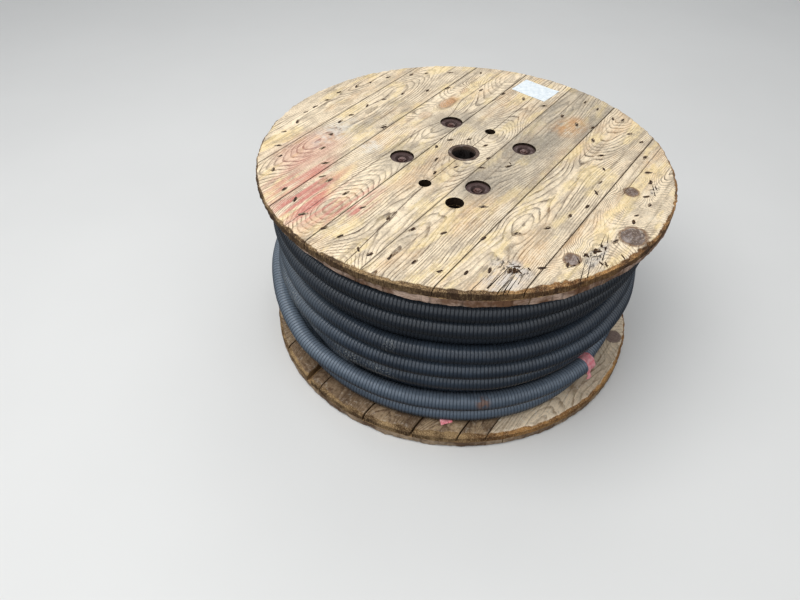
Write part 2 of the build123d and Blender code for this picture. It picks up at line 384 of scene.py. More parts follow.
def paint_tears(wood, mottle):
    """Split and whitened wood by the rim, black tears between the grey knots."""
    split = wood.spot(0.605, -0.70, 0.11, 0.16)
    shreds = wood.drawn(300, 9, 6, 3, 0.6)
    wood.over((split * mottle.ease(0.36, 0.58)).limited() * 0.75, 218, 210, 202)
    wood.over(split * shreds.ease(0.56, 0.62) * 0.85, 58, 46, 40)
    curls = wood.drawn(130, 60, 5, 4, 0.7)
    torn = wood.spot(0.835, -0.35, 0.040, 0.13, 0.5) + wood.spot(0.60, -0.625, 0.12, 0.060, 0.4)
    torn = torn + wood.spot(0.865, 0.24, 0.022, 0.06, 0.4)
    wood.over((torn * mottle.ease(0.36, 0.58)).limited() * 0.6, 200, 194, 188)
    wood.over((torn * curls.ease(0.51, 0.56)).limited() * 0.9, 40, 31, 26)
    wood.over(wood.spot(0.785, 0.165, 0.028, 0.030, 0.7, 1.1) * 0.45, 78, 62, 54)


def heart_lines(wood):
    """Dark lines along four boards, one bent round a knot, one slanting and one short."""
    bend = wood.v.ease(0.02, 0.12) * wood.v.ease(0.26, 0.14) * 0.022
    slant = wood.v.ease(-0.15, -0.62) * 0.030
    wander = wood.noise(1, vector=wood.vector(wood.v * 30, 1)) * 0.004
    lines = [(-0.295, bend, 0.75), (0.005, slant, 0.9), (0.205, slant * -0.5, 0.45),
             (0.76, 0, wood.v.ease(0.05, 0.07) * 0.8)]
    for place, reach, force in lines:
        away = (wood.u - place * radius - reach - wander + 0.002).size()
        wood.over(away.ease(0.0019, 0.0006) * force, 66, 47, 32)


def top_pine():
    """The upper face: pale straw boards, greyed by weather, with knots, a pink stain and heart lines."""
    wood = Pine("pale_pine_boards", along_turn, top_outer_seams, top_knots)
    wood.colour = wood.wood(paint(250, 230, 198), paint(66, 47, 31), 1)
    mottle = wood.drawn(52, 22, 3.3, 6, 0.72)
    dust = wood.noise(38, 5, 0.7)
    weather(wood, mottle)
    paint_stains(wood, dust)
    paint_knots(wood, mottle, dust)
    paint_tears(wood, mottle)
    heart_lines(wood)
    # fine dark checks along the fibres, and grime
    checks = wood.drawn(380, 7, 2).ease(0.62, 0.72)
    wood.over(checks * wood.patch.ease(0.36, 0.56) * 0.8, 74, 56, 42)
    grime = wood.noise(230, 4, 0.75)
    wood.over(grime.ease(0.54, 0.70) * 0.50, 98, 84, 68)
    wood.over(grime.ease(0.46, 0.34) * 0.35, 248, 238, 216)
    wood.groove()
    wood.tear(top, 1)
    return wood.done(0.78 + wood.late * 0.08, specular=0.25)


def lower_pine():
    """The inner face of the lower flange: browner boards of uneven age, darker towards the cable."""
    wood = Pine("brown_pine_boards", along_turn, bottom_inner_seams, [(0.91, 0.24, 0.045, 0.05, 0.02)])
    wood.colour = wood.wood(paint(190, 164, 130), paint(92, 66, 46), 0.80)
    dark_board = wood.chance[1].ease(0.30, 0.70) * wood.u.ease(0.30, 0.10, 0.3, 1)
    wood.over(dark_board * 0.62, 98, 74, 56)
    pale_board = wood.u.ease(0.352, 0.360)
    pale_wood = wood.wood(paint(252, 232, 202), paint(150, 122, 90), 0.7)
    wood.colour = wood.mix(pale_board * 0.95, wood.colour, pale_wood)
    wood.over(wood.patch.ease(0.44, 0.62) * 0.7 * (1 - pale_board * 0.6), 90, 70, 54)
    dirt = wood.noise(120, 5, 0.75)
    runs = wood.drawn(180, 10, 8, 4, 0.65)
    wood.over(dirt.ease(0.50, 0.66) * (0.65 - pale_board * 0.35), 74, 60, 48)
    wood.over(runs.ease(0.54, 0.64) * (0.55 - pale_board * 0.35), 64, 48, 36)
    wood.over(dirt.ease(0.46, 0.34) * (0.3 + pale_board * 0.4), 228, 220, 204)
    knot = wood.knots[0] + (dirt - 0.5) * 0.8
    ringed = wood.mix((knot * 3).fraction(), paint(136, 116, 110), paint(98, 80, 76))
    wood.colour = wood.mix(knot.ease(1.05, 0.9) * 0.9, wood.colour, ringed)
    from_axis = (wood.u * wood.u + wood.v * wood.v).root()
    # darker nearer the axis, where the cable lies on the face
    wood.over(from_axis.ease(0.505, 0.46) * (0.6 - pale_board * 0.4), 72, 54, 43)
    wood.groove()
    wood.tear(lower_face, 0.45)
    return wood.done(0.8, specular=0.2)


def plain_pine(name, seams, pale, late):
    """Boards that hardly show, laid crosswise between the plies and under the drum."""
    wood = Pine(name, -grain, seams)
    wood.colour = wood.wood(pale, late, 0.6)
    wood.over(wood.patch.ease(0.45, 0.7) * 0.4, 120, 92, 64)
    wood.groove()
    return wood.done(0.82, specular=0.2)


def rim_wood(name, pale, dark, black_share):
    """The sawn and broken edge round a ply: end grain, torn fibres, dirt in runs and hollows."""
    rim = Finish(name)
    x, y, z = rim.parts(rim.place)
    blotch = rim.noise(14, 5, 0.65)
    lines = rim.noise(1, 4, 0.65, rim.vector(x * 45, y * 45, z * 420))
    specks = rim.noise(240, 3, 0.7)
    runs = rim.noise(90, 3, 0.6, rim.vector(x, y))
    rim.start(blotch.ease(0.36, 0.62), pale, dark)
    rim.colour = rim.mix(lines.ease(0.42, 0.70) * 0.75, rim.colour, dark)
    rim.over(runs.ease(0.52, 0.68) * black_share, 44, 30, 20)
    rim.over(specks.ease(0.60, 0.72) * 0.6, 50, 36, 24)
    rim.bump(lines * 0.7 + specks * 0.5 + blotch * 0.8, 0.0018)
    return rim.done(0.88, specular=0.15)


def dark_wood(name, base, dark):
    """The walls of holes, recesses, cracks and nail dents, darkened: painted shade, and round the nails
    partly a real iron stain.
    """
    wall = Finish(name)
    flecks = wall.noise(160, 4, 0.65)
    wall.start(flecks.ease(0.35, 0.7), base, dark)
    wall.bump(flecks, 0.0006)
    return wall.done(0.9, specular=0.1)


def bruised_wood():
    """Shallow bruises round the nails: ragged brown stain that fades into the pale face."""
    bruise = Finish("bruised_wood")
    ragged = bruise.noise(300, 4, 0.7)
    tint = bruise.noise(30)
    bruise.start(tint.ease(0.4, 0.6), paint(206, 188, 156), paint(176, 158, 134))
    bruise.over(ragged.ease(0.38, 0.56), 88, 70, 54)
    bruise.bump(ragged, 0.0008)
    return bruise.done(0.85, specular=0.2)


# steel, jacket, paper and tape

def rusty_steel(name, metal, rust, share, darkening_depth=None):
    """Bare steel turning to rust. A bushing turns near black from a little way below its collar inwards."""
    steel = Finish(name)
    blotch = steel.noise(70, 5, 0.65)
    grit = steel.noise(700, 3, 0.6)
    spread = (blotch * 0.8 + grit * 0.3).ease(0.52 - 0.2 * share, 0.70 - 0.2 * share)
    steel.start(spread, metal, rust)
    steel.over(grit.ease(0.55, 0.75) * 0.5, 34, 24, 22)
    if darkening_depth:
        # near black deeper inside, from a little way in from either outer face
        outward = (steel.parts(steel.place)[2] - top / 2).size()
        steel.over(outward.ease(top / 2 - darkening_depth, top / 2 - darkening_depth * 5), 26, 19, 16)
    steel.bump(blotch * 0.5 + grit * 0.6, 0.0006)
    return steel.done(0.42 + spread * 0.4, 0.55 - spread * 0.45)


# white scuffs on the jacket: azimuth, distance and height, then reach and amount
scuffs = [
    ((-50, 0.955, 0.50), 0.060, 0.95), ((-58, 0.945, 0.56), 0.050, 0.9), ((-42, 0.965, 0.47), 0.050, 0.75),
    ((-27, 0.975, 0.42), 0.060, 0.85), ((-17, 0.980, 0.42), 0.055, 0.8), ((-14, 0.985, 0.64), 0.022, 0.7),
]


def cable_jacket(name, shade, gloss):
    """Blue-grey jacket with dust and a painted highlight on top and painted shade underneath, scuffed and
    smeared in places, with painted shade on the upper turns and painted light, partly dust, at the left and
    below.
    """
    jacket = Finish(name)
    soft = jacket.noise(7, 4, 0.55)
    dust = jacket.noise(60, 5, 0.65)
    grit = jacket.noise(520, 3, 0.65)
    up = jacket.parts(jacket.add("TexCoord", output="Normal"))[2]
    x, _, height = jacket.parts(jacket.place)
    jacket.start(soft.ease(0.35, 0.65), paint(28, 38, 50), paint(42, 54, 68))
    # painted light, partly dust: the lower turns paler
    jacket.over(height.ease(0.27, 0.08) * 0.75, 96, 110, 126)
    # painted shade: the upper turns darker, under the upper flange
    jacket.over(height.ease(0.30, 0.44) * 0.75, 17, 22, 29)
    # painted highlight on the upward faces, with dust lying on top; stronger on the lower turns
    dust_and_sheen = (up.ease(0.35, 0.95) * 0.5 + dust.ease(0.48, 0.72) * up.ease(0, 0.9) * 0.3).limited()
    jacket.over(dust_and_sheen * height.ease(0.36, 0.14, 0.16, 1), 140, 154, 170)
    # painted light, with some dust: the turns at the left paler
    jacket.over(x.ease(-0.22, -0.40) * height.ease(0.46, 0.36) * 0.4, 118, 130, 142)
    # painted shade on the undersides of the turns
    jacket.over(up.ease(0.35, -0.45) * 0.8, 14, 17, 22)
    jacket.over(grit.ease(0.60, 0.76) * 0.35, 120, 122, 120)
    scratch = jacket.noise(240, 4, 0.75).ease(0.50, 0.66)
    for spot, reach, amount in scuffs:
        near = jacket.near(tuple(around(*spot)), reach, reach * 0.25)
        jacket.over(near * scratch * amount, 170, 172, 168)
    smear = jacket.near(tuple(around(12.5, 0.925, 0.245)), 0.024, 0.008)
    jacket.over(smear * dust.ease(0.38, 0.5) * 0.8, 132, 98, 80)
    # painted shade: a shade below 1 darkens this copy, which the ribs' grooves take
    jacket.colour = jacket.mix(1, jacket.colour, (shade, shade, shade, 1), "MULTIPLY")
    jacket.bump(grit * 0.3 + dust * 0.4, 0.0004)
    return jacket.done(gloss + dust * 0.22, specular=0.4 * shade)


def pink_tape():
    tape = Finish("pink_tape")
    folds = tape.noise(120, 3, 0.6)
    tape.start(folds.ease(0.3, 0.7), paint(238, 124, 136), paint(250, 184, 188))
    tape.over(tape.noise(420, 3).ease(0.6, 0.75) * 0.4, 160, 80, 84)
    tape.bump(folds, 0.002)
    return tape.done(0.5, specular=0.4)


def label_paper():
    paper = Finish("label_paper")
    mottle = paper.noise(90, 4, 0.6)
    paper.start(mottle.ease(0.35, 0.7), paint(232, 238, 240), paint(210, 220, 226))
    paper.bump(mottle, 0.0004)
    return paper.done(0.55, specular=0.4)


finishes = {
    "top": top_pine(),
    "lower": lower_pine(),
    "between": plain_pine("inner_pine", top_inner_seams, paint(206, 172, 122), paint(140, 98, 60)),
    "under": plain_pine("floor_pine", bottom_outer_seams, paint(190, 156, 112), paint(120, 86, 54)),
    "inner_rim": rim_wood("inner_rim", paint(226, 198, 178), paint(120, 88, 66), 0.55),
    "floor_rim": rim_wood("floor_rim", paint(196, 172, 144), paint(112, 90, 72), 0.35),
    # near-black walls of holes and recesses: painted shade
    "hole": dark_wood("hole_wood_painted_shade", paint(50, 38, 28), paint(22, 16, 12)),
    # dark walls of nail dents, cracks and splinter hollows: painted shade, round the nails partly a real iron
    # stain
    "stain": dark_wood("nail_stain_and_painted_shade", paint(88, 66, 46), paint(40, 28, 20)),
    "bushing": rusty_steel("bushing_steel", paint(110, 98, 90), paint(78, 60, 48), 0.6, 0.003),
    "washer": rusty_steel("rusty_steel", paint(94, 78, 76), paint(62, 43, 40), 0.6),
    "bolt": rusty_steel("bolt_steel", paint(122, 102, 98), paint(82, 54, 48), 0.5),
    "bruise": bruised_wood(),
    "nail": rusty_steel("nail_steel", paint(64, 54, 48), paint(52, 36, 28), 0.9),
    "jacket": cable_jacket("cable_jacket", 1, 0.24),
    # the grooves' copy, darkened: painted shade in the grooves
    "groove": cable_jacket("jacket_grooves", 0.6, 0.5),
    "tape": pink_tape(),
    "paper": label_paper(),
}


# modelling helpers

def activate(piece):
    bpy.ops.object.select_all(action="DESELECT")
    piece.select_set(True)
    bpy.context.view_layer.objects.active = piece


def edit(piece):
    activate(piece)
    bpy.ops.object.mode_set(mode="EDIT")


def leave_edit():
    bpy.ops.object.mode_set(mode="OBJECT")


def new_piece(operator, name, **settings):
    bpy.ops.object.select_all(action="DESELECT")
    operator(**settings)
    piece = bpy.context.object
    piece.name = piece.data.name = name
    return piece


def settle(piece):
    """Moves a piece's place and turn into its mesh."""
    activate(piece)
    bpy.ops.object.transform_apply(location=True, rotation=True, scale=True)


def lay(piece, place, turn):
    piece.location = place
    piece.rotation_euler = turn
    settle(piece)


def cylinder(name, vertices, size, depth, place=(0, 0, 0), turn=(0, 0, 0)):
    piece = new_piece(bpy.ops.mesh.primitive_cylinder_add, name, vertices=vertices, radius=size, depth=depth,
                      location=place, rotation=turn)
    settle(piece)
    return piece


def ellipsoid(name, segments, place, turn, sizes):
    return new_piece(bpy.ops.mesh.primitive_uv_sphere_add, name, segments=segments, ring_count=6, radius=1,
                     location=place, rotation=(0, 0, turn), scale=sizes)


def sheet(name, columns, rows, width=1, depth=1):
    piece = new_piece(bpy.ops.mesh.primitive_grid_add, name, x_subdivisions=columns, y_subdivisions=rows,
                      size=1)
    piece.scale = (width, depth, 1)
    settle(piece)
    return piece


def select_faces(piece, wanted):
    """In edit mode, selects the faces whose centre and normal are wanted."""
    bpy.ops.mesh.select_all(action="DESELECT")
    bpy.ops.mesh.select_mode(type="FACE")
    leave_edit()
    for face in piece.data.polygons:
        face.select = wanted(face.center, face.normal)
    bpy.ops.object.mode_set(mode="EDIT")


def select_all():
    bpy.ops.mesh.select_all(action="SELECT")


def slice_all(point, normal, **settings):
    """In edit mode, cuts the whole mesh along a plane."""
    select_all()
    bpy.ops.mesh.bisect(plane_co=point, plane_no=normal, **settings)


def modify(piece, kind, **settings):
    """Adds a modifier and applies it."""
    activate(piece)
    modifier = piece.modifiers.new(kind.title(), kind)
    for name, value in settings.items():
        setattr(modifier, name, value)
    bpy.ops.object.modifier_apply(modifier=modifier.name)


def clouds(name, size, depth=2):
    texture = bpy.data.textures.new(name, "CLOUDS")
    texture.noise_scale = size
    texture.noise_depth = depth
    return texture


def displace(piece, direction, strength, middle, texture, group="", coords="GLOBAL"):
    modify(piece, "DISPLACE", direction=direction, strength=strength, mid_level=middle, texture=texture,
           vertex_group=group, texture_coords=coords)


def copy_of(piece, name):
    twin = piece.copy()
    twin.data = piece.data.copy()
    twin.name = twin.data.name = name
    bpy.context.collection.objects.link(twin)
    return twin


def join(parts, name):
    bpy.ops.object.select_all(action="DESELECT")
    for part in parts:
        part.select_set(True)
    bpy.context.view_layer.objects.active = parts[0]
    bpy.ops.object.join()
    whole = bpy.context.object
    whole.name = whole.data.name = name
    settle(whole)
    return whole


def coat(piece, *names):
    piece.data.materials.clear()
    for name in names:
        piece.data.materials.append(finishes[name])


def smooth(piece, degrees):
    activate(piece)
    bpy.ops.object.shade_smooth_by_angle(angle=math.radians(degrees))


def mount(piece, slot, *nodes):
    """Puts a finished piece on the drum: it rides on the body and stands for its nodes."""
    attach(piece, "root")
    if nodes:
        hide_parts(*nodes)


def present(piece, finish, degrees, slot, *nodes):
    """Paints, smooths and mounts a piece."""
    coat(piece, finish)
    smooth(piece, degrees)
    mount(piece, slot, *nodes)


# boards of the flanges

rim_steps = [0.0025] * 12 + [0.005]
# how far out the upper face stays whole, by azimuth, in flange radii
top_break = [(-180, 0.990), (-60, 0.990), (-35, 0.986), (-8, 0.982), (8, 0.980), (14, 0.988), (21, 0.970),
             (26, 0.978), (31, 0.988), (44, 0.982), (57, 0.984), (180, 0.990)]
lower_break = [(-180, 0.988), (-40, 0.985), (-12, 0.975), (0, 0.965), (12, 0.975), (30, 0.985),
               (180, 0.988)]
plain_break = [(0, 0.992)]
# how far the upper flange's inner ply stands back from the rim, by azimuth, in flange radii
no_step = [(0, 0)]
inner_step = [(-180, 0), (-90, 0.006), (-60, 0.017), (-35, 0.020), (-20, 0.013), (-4, 0), (28, 0),
              (36, 0.008), (48, 0.006), (70, 0), (180, 0)]
step_start = 0.92             # the step back grows from this distance outwards
rim_start = 0.93              # steeper faces further out than this are the rim's
rough_reach = 0.004           # how far in from the whole part's edge the torn surface goes
rim_texture = clouds("torn_rim", 0.022)
chip_texture = clouds("chipped_rim", 0.010, 1)


def rim_disc(low, worn_up, whole_to, torn, set_back=no_step):
    """A whole ply with rings of faces near its rim, its worn edge broken down and torn."""
    middle = low + ply / 2
    disc = cylinder("ply", 1080, radius - 0.0005, ply, (0, 0, middle))
    edit(disc)
    select_faces(disc, lambda place, normal: normal.z * worn_up > 0.9)
    for step in rim_steps:
        bpy.ops.mesh.inset(thickness=step)
    for level in (0.2, 0.4, 0.6, 0.8):
        slice_all((0, 0, low + level * ply), (0, 0, 1))
    leave_edit()
    broken = disc.vertex_groups.new(name="broken")
    rough = disc.vertex_groups.new(name="rough")
    for vertex in disc.data.vertices:
        x, y, z = vertex.co
        out = math.hypot(x, y) / radius
        azimuth = math.degrees(math.atan2(x, -y))
        edge = between(whole_to, azimuth)
        if out > edge and (z - middle) * worn_up > 0:
            share = (out - edge) / (1 - edge)
            height = abs(z - middle) / (ply / 2)
            broken.add([vertex.index], share * height, "REPLACE")
        if out > edge - rough_reach:
            rough.add([vertex.index], 1, "REPLACE")
        if out > step_start:
            inward = 1 - between(set_back, azimuth) * (out - step_start) / (1 - step_start)
            vertex.co = (x * inward, y * inward, z)
    deepest = 0.55 * ply
    displace(disc, "Z", -deepest * worn_up, 0, clouds("break", 0.05), "broken")
    displace(disc, "NORMAL", torn, 0.62, rim_texture, "rough")
    displace(disc, "NORMAL", torn * 0.5, 0.58, chip_texture, "rough")
    return disc


def cut_boards(disc, ply_name, seams, gaps, turn, face_finish, rim_finish):
    """Saws a ply into its boards. The faces round the rim take the rim's finish."""
    across = Vector((math.cos(turn), math.sin(turn), 0))
    coat(disc, *dict.fromkeys((face_finish, rim_finish, "hole", "stain")))
    for face in disc.data.polygons:
        outside = math.hypot(face.center.x, face.center.y) > rim_start * radius
        if outside and abs(face.normal.z) < 0.93:
            face.material_index = int(rim_finish != face_finish)
    edges = [(-1, 0), *zip(seams, gaps), (1, 0)]
    boards = []
    for number, (left, right) in enumerate(zip(edges, edges[1:]), 1):
        board = copy_of(disc, f"sawn_{ply_name}_board_{number}")
        edit(board)
        for place, gap, side in ((*left, 1), (*right, -1)):
            if abs(place) < 1:
                slice_all(across * (place + side * gap / 2), across, use_fill=True,
                          clear_inner=side > 0, clear_outer=side < 0)
        leave_edit()
        board["left"], board["right"] = max(left[0], -radius), min(right[0], radius)
        boards.append(board)
    bpy.data.objects.remove(disc)
    return boards


def drill(boards, cutters, turn):
    """Cuts each cutter out of the boards that it reaches. The cut takes the cutter's finish."""
    for cutter in cutters:
        places = [v.co.x * math.cos(turn) + v.co.y * math.sin(turn) for v in cutter.data.vertices]
        for board in boards:
            if min(places) < board["right"] and max(places) > board["left"]:
                modify(board, "BOOLEAN", operation="DIFFERENCE", object=cutter, solver="EXACT",
                       material_mode="TRANSFER")


def round_cutter(name, place, size, start, end):
    """A round cutter between two heights."""
    cutter = cylinder(name, 48, size, abs(end - start), (*place, (start + end) / 2))
    # the cut walls take the near-black finish: painted shade in the hole
    coat(cutter, "hole")
    return cutter


bolt_boxes = [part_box(f"tie_bolt_{k}") for k in range(1, 5)]
bolt_places = [((low[0] + high[0]) / 2, (low[1] + high[1]) / 2) for low, high in bolt_boxes]
collar_low, collar_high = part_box("top_bushing")
collar_radius = (collar_high[0] - collar_low[0]) / 2 + 0.0002
collar_depth = 0.0025
tube_radius = 0.03520
recess_radius = 0.031
recess_depth = 0.009
cup_radius = 0.022
bolt_hole_radius = 0.0072
over = 0.002                  # how far a cutter goes past the wood
# drive and start holes: across and along, and the hole's radius
drive_holes = [((0.002, 0.255), 0.0145), ((-0.003, -0.335), 0.016), ((0.1876, -0.385), 0.0225)]


def shaft_cutters(outer_face, outward, low, high, outer_ply):
    """Cutters of a flange's shaft hole, and of its bolt holes and their recesses."""
    outside = outer_face + outward * over
    cutters = [round_cutter("shaft_cut", (0, 0), tube_radius, low, high)]
    if outer_ply:
        seat = outer_face - outward * collar_depth
        cutters.append(round_cutter("collar_cut", (0, 0), collar_radius, seat, outside))
    for place in bolt_places:
        if outer_ply:
            step = outer_face - outward * recess_depth
            cutters.append(round_cutter("recess_cut", place, recess_radius, step, outside))
            cutters.append(round_cutter("cup_cut", place, cup_radius, low, high))
        else:
            cutters.append(round_cutter("bolt_cut", place, bolt_hole_radius, low, high))
    return cutters


nail_radius = 0.0014
# clinched nails of the upper face, in three rings: across, along
nail_places = [
    (-.64, .634), (-.535, .72), (-.39, .83), (-.70, .563), (-.787, .448), (-.826, .333), (-.861, .248),
    (-.892, .133), (-.886, .024), (-.886, -.08), (-.886, -.151), (-.85, -.259), (-.833, -.371),
    (-.763, -.486), (-.689, -.553), (-.63, -.661), (-.483, -.749), (-.389, -.78), (-.29, -.847),
    (-.154, -.865), (-.066, -.865), (.049, -.889), (.105, -.886), (.178, -.851), (.27, -.819),
    (.381, -.805), (.469, -.753), (.535, -.686), (.60, -.640), (.625, -.628), (.693, -.553), (.767, -.476),
    (.798, -.378), (.816, -.329), (.861, -.217), (.875, -.049), (.868, .007), (.889, .112), (.85, .168),
    (.826, .294), (.787, .368), (.728, .493), (.661, .623), (.585, .665), (.501, .784), (.455, .763),
    (.346, .82), (.259, .854), (-.028, .683), (-.15, .672), (-.273, .634), (-.441, .543), (-.511, .448),
    (-.599, .329), (-.644, .217), (-.668, .098), (-.675, -.032), (-.675, -.126), (-.626, -.252),
    (-.574, -.378), (-.479, -.476), (-.413, -.574), (-.364, -.574), (-.241, -.616), (-.115, -.655),
    (.021, -.651), (.147, -.648), (.266, -.595), (.417, -.529), (.507, -.417), (.598, -.308), (.637, -.168),
    (.669, -.06), (.658, .063), (.641, .15), (.609, .27), (.55, .382), (.458, .493), (.406, .613),
    (.329, .591), (.227, .634), (.095, .679), (-.045, .126), (.052, .123), (-.116, .063), (-.137, -.031),
    (-.073, -.133), (.038, -.133), (.137, -.063), (.123, .028), (.235, .02), (-.46, -.03), (-.014, -.235),
    (.301, -.336),
]
# open cracks of the upper face: across, along at each end, and width
cracks = [
    ((.587, -.615), (.579, -.785), .0042), ((.621, -.645), (.621, -.789), .0030),
    ((.625, -.625), (.641, -.790), .0036), ((.640, -.605), (.652, -.766), .0028),
    ((.650, -.606), (.662, -.695), .0022), ((.545, -.66), (.535, -.83), .0024),
    ((.638, -.564), (.626, -.641), .0024), ((.809, -.196), (.823, -.285), .0026),
    ((.816, -.177), (.839, -.255), .0022), ((.847, -.285), (.865, -.370), .0034),
    ((.803, -.377), (.844, -.530), .0024), ((.813, -.338), (.859, -.500), .0026),
    ((.765, -.509), (.792, -.458), .0036), ((.767, -.403), (.801, -.439), .0042),
    ((.865, -.387), (.898, -.385), .0040), ((.835, .285), (.862, .235), .0040),
    ((.858, .245), (.882, .195), .0034),
]
# torn splinters by the grey knots: across, along, half length and width, and turn from the boards' direction
splinters = [
    (.613, -.630, .0110, .0055, 25), (.609, -.603, .0100, .0028, -50), (.632, -.624, .0100, .0028, 60),
    (.803, -.377, .0085, .0045, 65), (.820, -.331, .0110, .0060, 15), (.833, -.325, .0080, .0040, -40),
    (.828, -.286, .0050, .0035, 0), (.847, -.290, .0080, .0028, 15), (.869, -.389, .0080, .0035, 60),
    (.888, -.384, .0100, .0028, 35), (.656, -.589, .0060, .0028, 60), (.925, -.299, .0100, .0026, 50),
    (-.47, -.015, .0090, .0022, -20), (-.455, -.045, .0060, .0020, 60), (.228, .049, .0060, .0024, 50),
    (.240, .035, .0060, .0022, -30), (.862, .262, .0090, .0022, 30), (.850, .235, .0070, .0020, -40),
]


def nail_marks():
    """The clinched ends of the nails, bent over along the grain, and the dents that they lie in."""
    nails, dents, bruises = [], [], []
    for across, along in nail_places:
        x, y = on_boards(across, along)
        turn = grain + math.radians(random.uniform(-38, 22))
        length = random.uniform(0.009, 0.015)
        nail = cylinder("nail", 8, nail_radius, length, turn=(0, math.pi / 2, 0))
        edit(nail)
        for share in (-0.25, 0.15):
            slice_all((share * length, 0, 0), (1, 0, 0))
        select_faces(nail, lambda place, normal: place.x > 0.12 * length)
        hook = random.uniform(-0.003, 0.003)
        bpy.ops.transform.translate(value=(0, hook, -0.0009))
        leave_edit()
        nail.rotation_euler = (0, 0, turn)
        nail.location = (x, y, top - nail_radius / 2)
        nails.append(nail)
        dents.append(ellipsoid("dent", 10, (x, y, top + 0.0004), turn + random.uniform(-0.5, 0.5),
                               (length * random.uniform(0.55, 0.85), random.uniform(0.0022, 0.0042), 0.0026)))
        spread = random.uniform(0.7, 1.2)
        place = (x + random.uniform(-0.002, 0.002), y + random.uniform(-0.003, 0.003), top + 0.0006)
        bruises.append(ellipsoid("bruise", 12, place, turn + random.uniform(-0.4, 0.4),
                                 (0.0130 * spread, 0.0052 * spread, 0.0011)))
    bruises = join(bruises, "nail_bruises")
    coat(bruises, "bruise")
    nails = join(nails, "clinched_nails")
    coat(nails, "nail")
    smooth(nails, 50)
    dents = join(dents, "nail_dents")
    # the dents' walls: painted shade, partly iron stain round the nail
    coat(dents, "stain")
    return nails, dents, bruises


def splinter(across, along, half_length, half_width, turn):
    """The hollow that a torn splinter leaves."""
    hollow = ellipsoid("crack", 12, (*on_boards(across, along), top + 0.0003), grain + math.radians(turn),
                       (half_length, half_width * 0.75, 0.0034))
    settle(hollow)
    return hollow


def crack(start, end, width):
    """A thin wedge, widest at the end that is nearer the rim."""
    depth = 0.012
    x0, y0 = on_boards(*start)
    x1, y1 = on_boards(*end)
    length = math.hypot(x1 - x0, y1 - y0)
    wedge = new_piece(bpy.ops.mesh.primitive_cube_add, "crack", size=1)
    wedge.scale = (length, width, depth)
    settle(wedge)
    edit(wedge)
    select_faces(wedge, lambda place, normal: normal.x < -0.9)
    bpy.ops.transform.resize(value=(1, 0.15, 0.4), center_override=(-length / 2, 0, depth / 2))
    select_faces(wedge, lambda place, normal: normal.z < -0.9)
    bpy.ops.transform.resize(value=(0.9, 0.3, 1), center_override=(0, 0, -depth / 2))
    leave_edit()
    lay(wedge, ((x0 + x1) / 2, (y0 + y1) / 2, top - depth / 3), (0, 0, math.atan2(y1 - y0, x1 - x0)))
    return wedge


def crack_cutters():
    """Everything that is torn or split out of the upper face."""
    cutters = [splinter(*row) for row in splinters] + [crack(*row) for row in cracks]
    for cutter in cutters:
        # the walls of cracks and splinter hollows: painted shade
        coat(cutter, "stain")
    return cutters


def finish_boards(boards, slot):
    for board in boards:
        edit(board)
        select_all()
        bpy.ops.mesh.remove_doubles(threshold=0.00002)
        leave_edit()
        smooth(board, 28)
        del board["left"], board["right"]
        mount(board, slot, board.name.replace("sawn_", ""))


def flanges():
    """The boards of both flanges, ply by ply from the top, and the nails."""
    nails, dents, bruises = nail_marks()
    even = [0.002] * 6
    upper_gaps = [0.0009, 0.002, 0.002, 0.0010, 0.002, 0.002]
    odd = [0.003, 0.004, 0.018, 0.003, 0.005, 0.006, 0.004, 0.002]
    across, crosswise = grain - math.pi / 2, grain
    upper, lower = top - ply, lower_face - ply
    drive = [round_cutter("drive_cut", on_boards(*place), size, upper_face - over, top + over)
             for place, size in drive_holes]

    disc = rim_disc(upper, 1, top_break, 0.0060)
    boards = cut_boards(disc, "top_outer", top_outer_seams, upper_gaps, across, "top", "top")
    shaft = shaft_cutters(top, 1, upper - over, top + over, True)
    drill(boards, shaft + drive + crack_cutters() + [bruises, dents], across)
    finish_boards(boards, "pale_pine")

    disc = rim_disc(upper_face, -1, plain_break, 0.0035, inner_step)
    boards = cut_boards(disc, "top_inner", top_inner_seams, even, crosswise, "between", "inner_rim")
    drill(boards, shaft_cutters(top, 1, upper_face - over, upper + over, False) + drive, crosswise)
    finish_boards(boards, "brown_pine")

    disc = rim_disc(lower, 1, lower_break, 0.0055)
    boards = cut_boards(disc, "bottom_inner", bottom_inner_seams, odd, across, "lower", "lower")
    drill(boards, shaft_cutters(0, -1, lower - over, lower_face + over, False), across)
    finish_boards(boards, "brown_pine")

    disc = rim_disc(0, -1, plain_break, 0.0045)
    boards = cut_boards(disc, "bottom_outer", bottom_outer_seams, even, crosswise, "under", "floor_rim")
    drill(boards, shaft_cutters(0, -1, -over, lower + over, True), crosswise)
    finish_boards(boards, "brown_pine")

    mount(nails, "bolt_steel")
    spent = ("cut", "crack", "nail_dents", "nail_bruises")
    for cutter in [piece for piece in bpy.data.objects if any(word in piece.name for word in spent)]:
        bpy.data.objects.remove(cutter)


# the cable

cable_radius = 0.045          # in flange radii
route_step = 7.5              # degrees between the points of a turn
rib_pitch = 0.0085
rib_depth = 0.0012
# one rib: how far each ring of its profile goes on, and how deep it lies under the crest
rib_profile = [(0.0010, 0.0003), (0.0032, 0), (0.0032, 0.0003), (0.0011, rib_depth)]
groove_side = 0.0008          # faces nearer than this to a rib's ends have the groove's finish, darkened with painted shade
# what the winding's radius loses towards its sides: azimuth, flange radii
sides = [(-90, -.055), (-75, -.050), (-60, -.036), (-45, -.016), (-30, -.006), (-15, 0), (15, 0),
         (30, -.006), (45, -.018), (60, -.036), (75, -.052), (90, -.055)]
